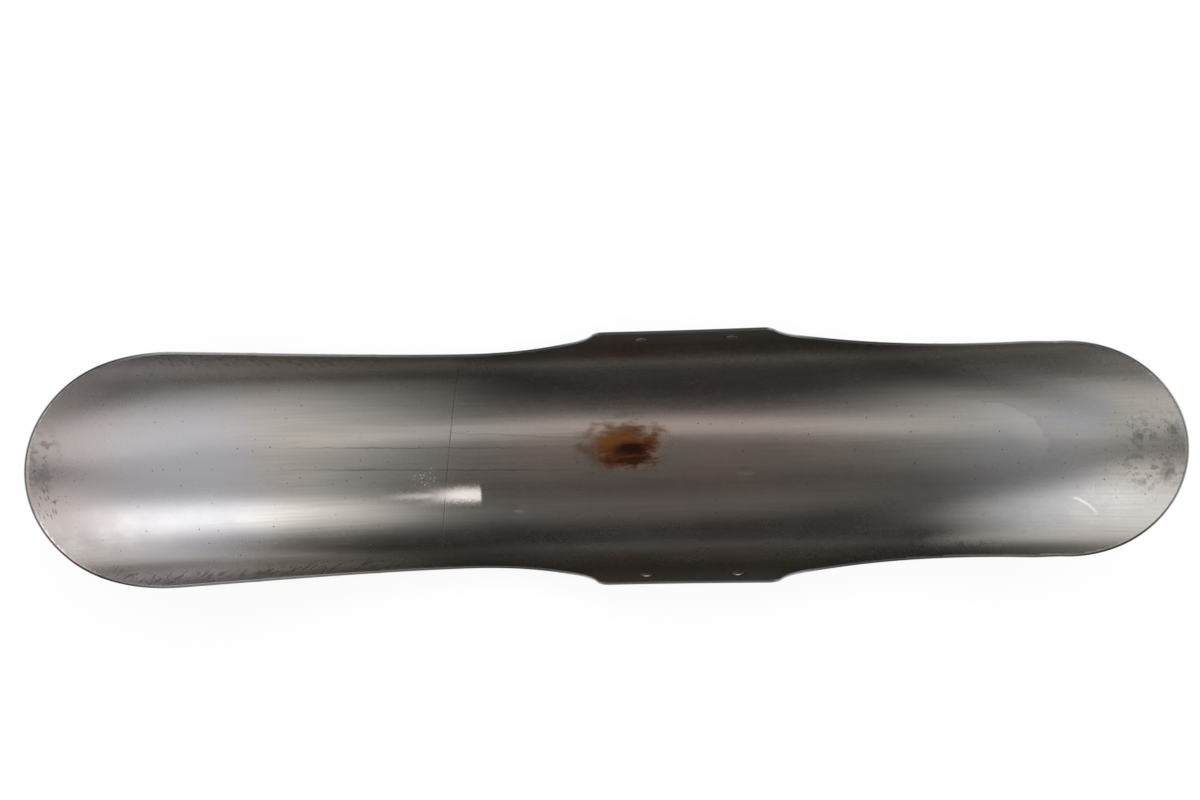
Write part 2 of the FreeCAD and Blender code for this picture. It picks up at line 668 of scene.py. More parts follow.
    def press(self, station: float, girth: float) -> float:
        """Lift that the press and the years leave at a point: waves and dents, all towards the hollow side.

        Args:
            station: station of the point.
            girth: girth of the point.

        Returns:
            The lift, in millimetres, not positive.
        """
        across = girth / self.wave_length * self.wave_girth_share
        wave = noise.noise(Vector((station / self.wave_length, across, self.wave_seed)))
        dents = sum(dent.at(station, girth) for dent in self.dents)
        return -self.waviness * (0.5 + 0.5 * wave) - dents

    def bend(self, mesh: bmesh.types.BMesh, gauge: "RimGauge") -> None:
        """Bends the flat sheet to the trough, and writes its flat places on its vertices for the finish.

        Args:
            mesh: the working mesh, flat and in millimetres.
            gauge: measures how far a place is from the trim line.
        """
        sheet = mesh.verts.layers.float_vector.new("sheet")
        rim = mesh.verts.layers.float.new("rim")
        for vert in mesh.verts:
            station, girth, lift = vert.co.x + self.ear_station, vert.co.y, vert.co.z
            vert[sheet] = (station, girth, lift)
            vert[rim] = gauge.measure(vert.co)
            vert.co = self.section.place(station, girth, lift + self.press(station, girth))
        bmesh.ops.recalc_face_normals(mesh, faces=mesh.faces)

    def build(self) -> bpy.types.Object:
        """Makes the fender's mesh object.

        Returns:
            The object, in place in the frame.
        """
        mesh = bmesh.new()
        self.trim_line(mesh)
        gauge = RimGauge([(edge.verts[0].co.copy(), edge.verts[1].co.copy()) for edge in mesh.edges])
        bmesh.ops.contextual_create(mesh, geom=mesh.edges[:])
        bmesh.ops.inset_region(mesh, faces=mesh.faces[:], thickness=self.rim_strip, use_even_offset=True)
        self.cut_cells(mesh)
        self.punch(mesh)
        self.thicken(mesh)
        self.bend(mesh, gauge)
        low = Vector(map(min, *(vert.co for vert in mesh.verts)))
        high = Vector(map(max, *(vert.co for vert in mesh.verts)))
        home = Vector(((cad_box[0].x + cad_box[1].x - low.x - high.x) / 2, 0.0, cad_box[0].z - low.z))
        bmesh.ops.translate(mesh, verts=mesh.verts, vec=home)
        piece = put_mesh("fender_sheet", mesh)
        piece.data.shade_smooth()
        piece.data.set_sharp_from_angle(angle=self.smooth_below)
        return piece


class RimGauge:
    """Measures how far a flat point is from the trim line."""

    nearest_steps = 3

    def __init__(self, edges: list[tuple[Vector, Vector]]) -> None:
        """Takes the straight steps of the trim line.

        Args:
            edges: start and end of each step.
        """
        self.edges = edges
        self.tree = kdtree.KDTree(len(edges))
        for index, (start, end) in enumerate(edges):
            self.tree.insert((start + end) / 2, index)
        self.tree.balance()

    def measure(self, place: Vector) -> float:
        """Distance from a flat place to the trim line, in millimetres.

        Args:
            place: the flat place.

        Returns:
            The distance to the nearest step.
        """
        flat = Vector((place.x, place.y, 0.0))
        gaps = []
        for _, index, _ in self.tree.find_n(flat, self.nearest_steps):
            start, end = self.edges[index]
            foot, share = geometry.intersect_point_line(flat, start, end)
            foot = start if share < 0 else end if share > 1 else foot
            gaps.append((flat - foot).length)
        return min(gaps)


@dataclass(frozen=True)
class Mark:
    """One oval mark on the sheet: its middle and its half sizes, in millimetres.

    It ends at none_at and is full at full_at, distances from its middle in half sizes, and covers a share there.
    """

    station: float
    girth: float
    half_length: float
    half_width: float
    none_at: float = 1.1
    full_at: float = 0.4
    share: float = 1.0


@dataclass(frozen=True)
class Line:
    """One line along the sheet: its girth at a start station, its slope and its bend."""

    start: float
    girth: float
    slope: float
    bend: float = 0.0


@dataclass(frozen=True)
class Stretch:
    """Part of the sheet, in stations or girths, with soft ends."""

    low: float
    high: float
    soft: float


class SheetFace:
    """Places on the sheet as its finish reads them, with patterns that follow the sheet, in millimetres."""

    inner_lifts = (-1.10, -1.40)
    outer_lifts = (-0.40, -0.10)
    seed_steps = (37.0, 19.0)
    stroke_length = 5.0

    def __init__(self, shader: Shader) -> None:
        """Reads the places that the fender wrote on its vertices.

        Args:
            shader: the material's nodes.
        """
        self.shader = shader
        sheet = shader.node("ShaderNodeAttribute", {"attribute_name": "sheet"}, {})
        self.place = sheet.outputs["Vector"]
        parts = shader.node("ShaderNodeSeparateXYZ", {}, {0: self.place})
        self.station, self.girth, self.lift = (shader.value(parts, i) for i in range(3))
        rim = shader.node("ShaderNodeAttribute", {"attribute_name": "rim"}, {})
        self.rim = shader.value(rim, "Fac")
        self.inner = self.lift.rise(*self.inner_lifts)
        self.outer = self.lift.rise(*self.outer_lifts)
        self.edge = 1 - self.inner - self.outer

    def _mapped(self, along: float, across: float, seed: float, turn: float, deep: float) -> bpy.types.NodeSocket:
        """Stretches the sheet's places, after a turn, so that a pattern has a given size.

        Args:
            along: size along the crown line.
            across: size round the section.
            seed: which of many such patterns.
            turn: turn on the sheet, in radians.
            deep: size through the sheet.

        Returns:
            The stretched places.
        """
        aside = (seed * self.seed_steps[0], seed * self.seed_steps[1], 0.0)
        made = self.shader.node(
            "ShaderNodeMapping",
            {"vector_type": "TEXTURE"},
            {
                "Vector": self.place,
                "Location": aside,
                "Rotation": (0.0, 0.0, turn),
                "Scale": (along, across, deep),
            },
        )
        return made.outputs[0]

    def cloud(
        self, along: float, across: float, seed: float, detail: float = 2.0, turn: float = 0.0, deep: float = 0.4
    ) -> Val:
        """Cloudy pattern, mostly from -1 to 1.

        Args:
            along: size of its blobs along the crown line.
            across: size of its blobs round the section.
            seed: which of many such patterns.
            detail: octaves of finer blobs.
            turn: turn of the pattern on the sheet, in radians.
            deep: size through the sheet, small where the two faces differ.

        Returns:
            The pattern's value.
        """
        place = self._mapped(along, across, seed, turn, deep)
        made = self.shader.node("ShaderNodeTexNoise", {}, {"Vector": place, "Scale": 1.0, "Detail": detail})
        return (self.shader.value(made, 0) - 0.5) * 4

    def specks(self, spacing: float, radius: float, share: float, seed: float) -> Val:
        """Small round specks, in a share of the cells of an uneven net.

        Args:
            spacing: size of the net's cells.
            radius: usual radius of a speck.
            share: share of the cells that have one.
            seed: which of many such nets.

        Returns:
            1 on a speck and 0 off it.
        """
        place = self._mapped(spacing, spacing, seed, 0.0, 1.0)
        made = self.shader.node("ShaderNodeTexVoronoi", {"voronoi_dimensions": "2D"}, {"Vector": place, "Scale": 1.0})
        chance = self.shader.node("ShaderNodeSeparateColor", {}, {0: made.outputs["Color"]})
        chosen = self.shader.value(chance, 0).rise(0.99 - share, 1.01 - share)
        size = radius / spacing * (0.5 + self.shader.value(chance, 1))
        return (size - self.shader.value(made, "Distance")).rise(0.0, 0.4 * radius / spacing) * chosen

    def oval(self, mark: Mark) -> Val:
        """Distance from the middle of a mark: 0 there and 1 on its rim."""
        along = (self.station - mark.station) / mark.half_length
        return along.hypot((self.girth - mark.girth) / mark.half_width)

    def mark(self, mark: Mark, torn: Optional[Val] = None) -> Val:
        """How much a mark covers.

        Args:
            mark: the mark.
            torn: pattern that frays its rim, in half sizes.

        Returns:
            Its share, 0 outside it.
        """
        off = self.oval(mark)
        off = off if torn is None else off + torn
        step = off.rise(mark.none_at, mark.full_at)
        return step if mark.share == 1.0 else step * mark.share

    def above(self, line: Line) -> Val:
        """Girth above a line."""
        run = self.station - line.start
        return self.girth - (line.girth + run * line.slope + run * run * line.bend)

    def along(self, stretch: Stretch) -> Val:
        """Mask of a stretch of stations."""
        return self.station.between(stretch.low, stretch.high, stretch.soft)

    def across(self, stretch: Stretch) -> Val:
        """Mask of a stretch of girths."""
        return self.girth.between(stretch.low, stretch.high, stretch.soft)

    def strokes(self, spacing: float, turn: float, seed: float) -> Val:
        """Short slanting strokes, as a file or a shear leaves beside the trim line."""
        return self.cloud(spacing, spacing * self.stroke_length, seed, 1.0, turn).rise(0.2, 0.6)


@dataclass
class Surface:
    """The finish as it builds up: each layer covers a share of what lies below it."""

    shader: Shader
    colour: bpy.types.NodeSocket
    rough: Val
    metal: Val
    height: Val

    def cover(self, colour: Any, share: Val, rough: Optional[Number] = None, metal: Optional[Number] = None) -> None:
        """Lays a layer on.

        Args:
            colour: colour of the layer.
            share: how much of the surface it hides.
            rough: its roughness, where it differs.
            metal: its metalness, where it differs.
        """
        self.colour = self.shader.mix(self.colour, colour, share)
        if rough is not None:
            self.rough = self.rough + (rough - self.rough) * share
        if metal is not None:
            self.metal = self.metal + (metal - self.metal) * share

    def shade(self, gain: Val) -> None:
        """Makes the colour lighter or darker."""
        self.colour = self.shader.tone(self.colour, gain)

    def raise_by(self, height: Val) -> None:
        """Adds relief, in millimetres."""
        self.height = self.height + height


@dataclass(frozen=True)
class RawSteel:
    """Bare rolled steel, satin, with oil film, handling marks and a rust spot. Places are in millimetres."""

    steel: Colour = (0.466, 0.442, 0.410, 1.0)
    warm_steel: Colour = (0.528, 0.410, 0.356, 1.0)
    straw_steel: Colour = (0.486, 0.442, 0.398, 1.0)
    # Lighter colour painted as a reflection along both ends.
    end_reflection: Colour = (0.660, 0.632, 0.604, 1.0)
    wall_steel: Colour = (0.446, 0.444, 0.424, 1.0)
    blue_film: Colour = (0.434, 0.446, 0.476, 1.0)
    violet_film: Colour = (0.464, 0.441, 0.466, 1.0)
    rose_film: Colour = (0.498, 0.438, 0.424, 1.0)
    pale_film: Colour = (0.540, 0.517, 0.494, 1.0)
    soot: Colour = (0.120, 0.116, 0.112, 1.0)
    pitted: Colour = (0.034, 0.030, 0.028, 1.0)
    # Dark colour of the scribed line, and of the dark reflections painted along the crown.
    scored_and_reflection: Colour = (0.130, 0.115, 0.110, 1.0)
    # Bright colour of the dings, and of the painted highlight spot.
    burnish_and_highlight: Colour = (0.880, 0.800, 0.750, 1.0)
    fresh_scratch: Colour = (0.860, 0.815, 0.750, 1.0)
    mill_scale: Colour = (0.290, 0.272, 0.258, 1.0)
    rust_dust: Colour = (0.270, 0.160, 0.085, 1.0)
    rust_bloom: Colour = (0.112, 0.030, 0.006, 1.0)
    rust_orange: Colour = (0.245, 0.086, 0.018, 1.0)
    rust_scab: Colour = (0.030, 0.0085, 0.0050, 1.0)
    sheared: Colour = (0.210, 0.208, 0.225, 1.0)
    # Colour of the shear's burnish band, and of the painted highlight along the corners.
    shear_burnish_and_highlight: Colour = (0.420, 0.425, 0.450, 1.0)
    roughness: float = 0.27
    hole_stations: Flat = (24.7, 84.3)
    hole_girth: float = 94.5
    hole_ring: Flat = (5.2, 4.5)
    ear_station: float = 54.5
    middle_station: float = 5.0
    warm_haze: Mark = Mark(40.0, 0.0, 140.0, 54.0, 1.2, 0.2)
    ear_walls: Mark = Mark(54.5, 0.0, 170.0, 400.0, 1.1, 0.5)
    # Girths of the painted reflection along both ends.
    end_reflection_band: Stretch = Stretch(-46.0, -22.0, 9.0)
    rose_stain: Mark = Mark(-322.0, 2.0, 46.0, 64.0, 1.1, 0.4, 0.85)
    violet_stain: Mark = Mark(-260.0, -6.0, 58.0, 70.0, 1.45, 0.1, 0.9)
    cool_stain: Mark = Mark(-242.0, -10.0, 38.0, 52.0, 1.5, 0.0, 0.6)
    front_stain: Mark = Mark(252.0, -14.0, 54.0, 46.0, 1.3, 0.25, 0.65)
    tip_stain: Mark = Mark(286.0, 22.0, 22.0, 15.0, 1.1, 0.4, 0.6)
    tide_ring: Mark = Mark(205.0, -2.0, 57.0, 32.0)
    # Painted reflections: two dark lines along the crown.
    upper_reflection_line: Line = Line(-209.0, 10.5, -0.0243)
    lower_reflection_line: Line = Line(-209.0, -1.9, -0.0272)
    faint_line: Line = Line(-98.0, 17.2, -0.065)
    faint_length: Stretch = Stretch(-95.0, -18.0, 8.0)
    scribed_width: Stretch = Stretch(-57.0, 59.0, 3.0)
    spot_girth: float = -19.9
    spot_bits: Mark = Mark(-106.0, -9.0, 9.0, 10.0, 1.0, 0.5)
    rear_ding: Mark = Mark(-52.3, -31.0, 3.6, 1.3, 1.1, 0.3, 0.45)
    front_ding: Mark = Mark(81.2, -11.2, 8.0, 1.6, 1.1, 0.2, 0.35)
    scratch: Line = Line(278.2, -27.27, -0.155, -0.0195)
    scratch_length: Stretch = Stretch(279.0, 296.0, 2.5)
    nick_station: float = 290.0
    nick_width: Stretch = Stretch(-26.0, -19.0, 3.0)
    rear_pits: Mark = Mark(-330.0, -6.0, 30.0, 34.0, 1.0, 0.4)
    front_pits: Mark = Mark(318.0, -2.0, 40.0, 36.0, 1.0, 0.4)
    rear_smudge: Mark = Mark(-339.0, 6.0, 14.0, 22.0, 1.1, 0.3)
    rear_print: Mark = Mark(-339.0, -1.0, 8.0, 5.0, 1.1, 0.4, 0.55)
    front_smudge: Mark = Mark(329.0, -2.0, 26.0, 25.0, 1.1, 0.5)
    front_prints: tuple[Mark, ...] = (
        Mark(318.5, 6.0, 3.6, 3.6, 1.15, 0.1, 0.5),
        Mark(341.0, 8.5, 4.2, 4.2, 1.15, 0.1, 0.5),
        Mark(337.0, -13.0, 5.5, 5.5, 1.15, 0.1, 0.5),
    )
    rear_drips: Mark = Mark(-337.0, -16.0, 9.0, 13.0, 1.0, 0.6)
    stroke_rim: Stretch = Stretch(3.0, 11.5, 3.0)
    rear_low_strokes: Stretch = Stretch(-310.0, -125.0, 12.0)
    front_low_strokes: Stretch = Stretch(125.0, 235.0, 12.0)
    rear_top_strokes: Stretch = Stretch(-285.0, -165.0, 14.0)
    dust_patch: Mark = Mark(10.0, 6.5, 28.0, 18.0, 1.15, 0.5)
    bloom_patch: Mark = Mark(12.5, 4.2, 21.0, 13.0, 1.2, 0.5)
    orange_lobe: Mark = Mark(4.0, 11.0, 22.0, 7.0, 1.2, 0.2)
    scab_core: Mark = Mark(15.0, 4.6, 12.5, 4.8, 1.15, 0.3)
    scab_band: Mark = Mark(18.0, -2.4, 16.0, 3.2, 1.1, 0.4, 0.75)
    spot_tilt: Flat = (0.34, 0.05)

    def bare(self, shader: Shader, face: SheetFace) -> Surface:
        """The steel itself, with its rolling grain, its blotches and the warm haze round the rust.
        Its walls away from the ears carry painted shade, and a band along both ends carries a painted reflection.

        Args:
            shader: the material's nodes.
            face: places on the sheet.

        Returns:
            The surface, for the other layers to cover.
        """
        blotch = face.cloud(46.0, 30.0, 1.0, 3.0)
        mottle = face.cloud(5.0, 4.0, 2.0, 3.0)
        grain = face.cloud(44.0, 1.5, 3.0, 1.0)
        drawn = face.cloud(70.0, 3.0, 24.0, 1.0)
        straw = face.cloud(80.0, 40.0, 4.0)
        off_crown = abs(face.girth)
        deep = off_crown.rise(42.0, 66.0)
        haze = face.mark(self.warm_haze) * (0.85 + 0.3 * blotch)
        # Painted reflection: a lighter band along both ends, on the hollow side.
        ends = abs(face.station - self.middle_station).rise(170.0, 260.0) * face.across(self.end_reflection_band)
        # Painted shade: the walls away from the ears, darkened below by up to 35 % on the hollow side.
        walls = off_crown.rise(48.0, 64.0) * abs(face.station - self.ear_station).rise(50.0, 130.0)
        colour = shader.mix(self.steel, self.straw_steel, 0.4 + 0.4 * straw)
        colour = shader.mix(colour, self.warm_steel, haze * face.inner * (1 - deep))
        colour = shader.mix(colour, self.wall_steel, deep * face.mark(self.ear_walls) * face.inner)
        # The painted reflection along both ends.
        colour = shader.mix(colour, self.end_reflection, ends * face.inner)
        still = face.lift * 0
        rough = self.roughness + 0.02 * blotch + 0.01 * mottle + 0.10 * off_crown.rise(70.0, 95.0)
        surface = Surface(shader, colour, rough, 1 - still, still)
        uneven = 1 + 0.045 * blotch + 0.012 * mottle + 0.06 * grain
        # Random tone, times the painted shade on the walls of the hollow side.
        surface.shade(uneven * (1 - 0.35 * walls * face.inner))
        surface.raise_by(0.0014 * drawn)
        return surface

    def film(self, surface: Surface, face: SheetFace) -> None:
        """Oil film that has dried to tinted stains near both ends, one with a tide line.

        Args:
            surface: the finish so far.
            face: places on the sheet.
        """
        ragged = face.cloud(16.0, 12.0, 5.0, 3.0)
        for tint, stain, fray in (
            (self.rose_film, self.rose_stain, 0.3),
            (self.violet_film, self.violet_stain, 0.22),
            (self.blue_film, self.cool_stain, 0.25),
            (self.blue_film, self.front_stain, 0.25),
        ):
            surface.cover(tint, face.mark(stain, fray * ragged) * face.inner)
        ring = face.oval(self.tide_ring) + 0.08 * ragged + 0.05 * face.cloud(5.0, 4.0, 22.0)
        ahead = face.station.rise(196.0, 236.0) * face.girth.rise(-16.0, 6.0) * face.inner
        surface.cover(self.pale_film, ring.rise(1.01, 0.98) * ring.rise(0.55, 0.95) * ahead * 0.55)
        surface.cover(self.soot, abs(ring - 1.01).rise(0.03, 0.0) * ahead * 0.06)
        surface.cover(self.blue_film, face.mark(self.tip_stain, 0.25 * ragged) * face.inner)

    def reflection_and_scribe_lines(self, surface: Surface, face: SheetFace) -> None:
        """Two dark lines painted along the crown as dark reflections, a fainter dark line, and a line scribed across
        the sheet.

        Args:
            surface: the finish so far.
            face: places on the sheet.
        """
        jag = 0.55 * face.cloud(7.0, 40.0, 6.0, 3.0)
        broken = 0.75 + 0.4 * face.cloud(14.0, 40.0, 7.0)
        # Painted reflection: two dark lines along the crown, wavy like the sheet.
        upper = abs(face.above(self.upper_reflection_line) - jag).rise(0.75, 0.1)
        upper = upper * face.station.rise(-215.0, -120.0) * face.station.rise(-30.0, -75.0)
        lower = abs(face.above(self.lower_reflection_line) - jag).rise(0.75, 0.1)
        lower = lower * face.station.rise(-215.0, -130.0) * face.station.rise(-5.0, -60.0)
        faint = abs(face.above(self.faint_line) - 1.6 * jag).rise(0.7, 0.1)
        faint = faint * face.along(self.faint_length) * 0.45
        lines = (upper.most(lower).most(faint) * broken).most(0.0) * face.inner
        # The painted reflection lines and the fainter line, with a shallow groove below.
        surface.cover(self.scored_and_reflection, lines * 0.62, 0.4)
        across = face.girth * (0.108 - 0.00076 * face.girth) - 91.9
        scribe = abs(face.station - across - 0.12 * jag).rise(0.55, 0.12) * face.across(self.scribed_width)
        scribe = scribe * (0.8 + 0.25 * face.cloud(30.0, 9.0, 8.0)) * face.inner
        surface.cover(self.scored_and_reflection, scribe * 0.62, 0.45)
        surface.raise_by((lines * 0.006 + scribe * 0.02) * -1)

    def bright_marks(self, surface: Surface, face: SheetFace) -> Val:
        """Painted highlight spot on a tilted facet, two bright dings and a fresh scratch.

        Args:
            surface: the finish so far.
            face: places on the sheet.

        Returns:
            Share of the painted highlight spot, whose facet is tilted ahead.
        """
        fray = face.cloud(1.3, 0.9, 9.0, 2.0)
        # Painted highlight: a bright spot with specks, sharp at its front end, where a glint is.
        off = abs(face.girth - self.spot_girth) + 0.9 * fray
        stop = (face.station + 0.35 * fray).rise(-72.4, -74.6)
        spot = off.rise(9.5, 0.0) ** 1.6 * face.station.rise(-116.0, -80.0)
        tail = off.rise(3.4, 0.2) * face.station.rise(-138.0, -98.0) * 0.45
        bits = face.specks(1.9, 0.42, 0.55, 1.0) * face.mark(self.spot_bits)
        spot = (spot.most(tail) * stop).most(bits * 0.35) * face.inner
        # The painted highlight spot, in bright colour.
        surface.cover(self.burnish_and_highlight, spot, 0.30)
        dings = face.mark(self.rear_ding).most(face.mark(self.front_ding))
        surface.cover(self.burnish_and_highlight, dings * face.inner)
        cut = (abs(face.above(self.scratch)) + 0.25 * fray).rise(1.2, 0.3) * face.along(self.scratch_length)
        nick = abs(face.station - self.nick_station + face.girth * 0.03).rise(0.4, 0.1)
        nick = nick * face.across(self.nick_width) * 0.35
        surface.cover(self.fresh_scratch, cut.most(nick) * face.inner, 0.3)
        return spot

    def grime(self, surface: Surface, face: SheetFace) -> None:
        """Pits, and smudges at the two tips.

        Args:
            surface: the finish so far.
            face: places on the sheet.
        """
        near_tips = face.mark(self.rear_pits).most(face.mark(self.front_pits))
        pits = face.specks(9.0, 0.32, 0.42, 2.0).most(face.specks(3.6, 0.30, 0.35, 3.0) * near_tips)
        surface.cover(self.pitted, pits * 0.7, 0.5)
        blot = face.cloud(4.4, 3.4, 10.0, 5.0)
        torn = 0.6 * face.cloud(2.4, 1.8, 26.0, 3.0) + 0.35 * blot
        rear = face.mark(self.rear_smudge) * (blot + 0.3 * torn).rise(-0.1, 0.7) * 0.45
        rear = rear.most(face.mark(self.rear_print, torn))
        front = face.mark(self.front_smudge) * (blot + 0.5 * torn).rise(0.0, 0.7) * 0.38
        for finger in self.front_prints:
            front = front.most(face.mark(finger, torn))
        drips = face.cloud(1.0, 4.0, 11.0, 1.0, 0.35).rise(0.35, 0.7) * face.mark(self.rear_drips) * 0.65
        surface.cover(self.soot, rear.most(front).most(drips) * face.inner, 0.5)

    def trim_strokes(self, surface: Surface, face: SheetFace) -> None:
        """Strokes that the shear and the file left beside the trim line.

        Args:
            surface: the finish so far.
            face: places on the sheet.
        """
        rim = self.stroke_rim
        beside = face.rim.between(rim.low, rim.high, rim.soft)
        lower = face.girth.rise(-20.0, -30.0)
        rear_low = face.strokes(1.6, -1.05, 12.0) * face.along(self.rear_low_strokes) * lower
        front_low = face.strokes(1.7, 0.78, 13.0) * face.along(self.front_low_strokes) * lower
        rear_top = face.strokes(1.6, 1.0, 14.0) * face.along(self.rear_top_strokes) * (1 - lower)
        worked = rear_low.most(front_low * 0.8).most(rear_top * 0.7) * beside * face.inner
        surface.cover(self.soot, worked * 0.5, 0.5)
        surface.raise_by(worked * -0.003)

    def rust(self, surface: Surface, face: SheetFace) -> None:
        """Rust spot on the crown, streaked along the rolling grain.

        Args:
            surface: the finish so far.
            face: places on the sheet.
        """
        streak = face.cloud(7.0, 1.5, 15.0, 4.0)
        grit = face.cloud(1.2, 0.9, 16.0, 3.0)
        lumps = 0.32 * face.cloud(9.0, 6.0, 25.0, 3.0) + 0.14 * streak + 0.08 * grit
        dust = face.mark(self.dust_patch, lumps)
        bloom = face.mark(self.bloom_patch, lumps) * (face.station + 1.5 * streak).rise(-9.0, -3.0)
        lobe = face.mark(self.orange_lobe, 0.5 * streak + 0.3 * grit)
        core = face.mark(self.scab_core, 0.22 * streak + 0.6 * lumps)
        band = face.mark(self.scab_band, 0.3 * streak + 0.5 * lumps)
        surface.cover(self.rust_dust, dust * face.inner * 0.8, 0.34)
        orange = face.shader.mix(self.rust_bloom, self.rust_orange, lobe)
        surface.cover(orange, bloom * face.inner * 0.96, 0.62, 0.75)
        surface.cover(self.rust_scab, core.most(band) * bloom * face.inner * 0.97, 0.7, 0.75)
        surface.raise_by(bloom * (1 + grit) * face.inner * 0.002)

    def outside(self, surface: Surface, face: SheetFace) -> None:
        """Outer face: haze of mill scale, drag lines, rubs from handling and a few rust freckles.

        Args:
            surface: the finish so far.
            face: places on the sheet.
        """
        dull = face.cloud(70.0, 46.0, 19.0, 4.0).rise(-0.5, 0.9)
        drag = face.cloud(120.0, 2.2, 27.0, 2.0).rise(0.0, 1.0)
        surface.cover(self.mill_scale, dull.most(drag * 0.7) * face.outer * 0.62, 0.34)
        rub = face.cloud(60.0, 0.8, 17.0, 1.0, 0.10).rise(0.55, 0.95)
        rub = rub.most(face.cloud(34.0, 0.8, 18.0, 1.0, -0.45).rise(0.75, 1.05))
        surface.cover(self.pale_film, rub * face.outer * 0.4, 0.30)
        patch = face.cloud(90.0, 60.0, 20.0, 2.0).rise(0.1, 0.7)
        freckles = face.specks(4.2, 0.55, 0.45, 4.0) * patch * face.outer
        surface.cover(self.rust_bloom, freckles * 0.8, 0.8, 0.1)
        surface.raise_by((rub * 0.003 + freckles * 0.008) * face.outer * -1)

    def cut_edge(self, surface: Surface, face: SheetFace) -> None:
        """Sheared edge: a smooth burnish band above a torn one, and a painted highlight along the corners.

        Args:
            surface: the finish so far.
            face: places on the sheet.
        """
        score = face.cloud(0.8, 0.8, 21.0, 2.0, 0.0, 40.0)
        band = (face.lift + 0.12 * score).rise(-0.95, -0.65)
        surface.cover(self.sheared, face.edge, 0.5)
        surface.cover(self.shear_burnish_and_highlight, face.edge * band * 0.8, 0.34)
        # A dark ring round each bolt hole, over the sheet and the hole's own wall.
        for station in self.hole_stations:
            along = (face.station - station) / self.hole_ring[0]
            ring = along.hypot((abs(face.girth) - self.hole_girth) / self.hole_ring[1])
            surface.cover(self.soot, ring.rise(1.2, 0.85) * 0.85, 0.6)
        # Painted highlight: a lighter line on both faces next to the trim line.
        corner = face.rim.rise(0.75, 0.25) * (1 - face.edge)
        surface.cover(self.shear_burnish_and_highlight, corner * 0.25, 0.3)
        surface.raise_by(0.006 * score * face.edge)

    def material(self) -> bpy.types.Material:
        """Builds the material, layer on layer.

        Returns:
            The material.
        """
        shader = Shader(bpy.data.materials.new("raw_steel"))
        face = SheetFace(shader)
        surface = self.bare(shader, face)
        self.film(surface, face)
        self.reflection_and_scribe_lines(surface, face)
        spot = self.bright_marks(surface, face)
        self.grime(surface, face)
        self.trim_strokes(surface, face)
        self.rust(surface, face)
        self.outside(surface, face)
        self.cut_edge(surface, face)
        # The painted highlight spot's facet is tilted in the normal only.
        ahead, aside = self.spot_tilt
        tilt = shader.node("ShaderNodeCombineXYZ", {}, {0: spot * ahead, 1: spot * aside, 2: 0.0})
        normal = shader.node("ShaderNodeNewGeometry", {}, {}).outputs["Normal"]
        facet = shader.node("ShaderNodeVectorMath", {"operation": "ADD"}, {0: normal, 1: tilt.outputs[0]})
        facet = shader.node("ShaderNodeVectorMath", {"operation": "NORMALIZE"}, {0: facet.outputs[0]})
        relief = shader.node(
            "ShaderNodeBump",
            {},
            {"Strength": 1.0, "Distance": MM, "Height": surface.height, "Normal": facet.outputs[0]},
        )
        bsdf = shader.node(
            "ShaderNodeBsdfPrincipled",
            {},
            {
                "Base Color": surface.colour,
                "Metallic": surface.metal,
                "Roughness": surface.rough,
                "Normal": relief.outputs[0],
            },
        )
        shader.node("ShaderNodeOutputMaterial", {}, {"Surface": bsdf.outputs[0]})
        return shader.owner


class Reach(Enum):
    """How a light of the room spreads along the fender."""

    AHEAD = "ahead"
    BEHIND = "behind"
    MIDDLE = "middle"


@dataclass(frozen=True)
class Glow:
    """One soft light of the room. Its place round the fender is in degrees from straight up, positive towards +Y."""

    strength: float
    reach: Reach
    none_at: float
    full_at: float
    roll: float = 0.0
    dark_off: float = 360.0
    bright_off: float = 270.0

    def light(self, ahead: Val, roll: Val) -> Val:
        """Strength of the light in a direction.

        Args:
            ahead: share of the direction that points ahead.
            roll: angle of the direction round the fender, in degrees.

        Returns:
            The light that comes from there.
        """
        ways = {Reach.AHEAD: ahead, Reach.BEHIND: ahead * -1, Reach.MIDDLE: abs(ahead)}
        along = ways[self.reach].rise(self.none_at, self.full_at)
        return along * abs(roll - self.roll).rise(self.dark_off, self.bright_off) * self.strength


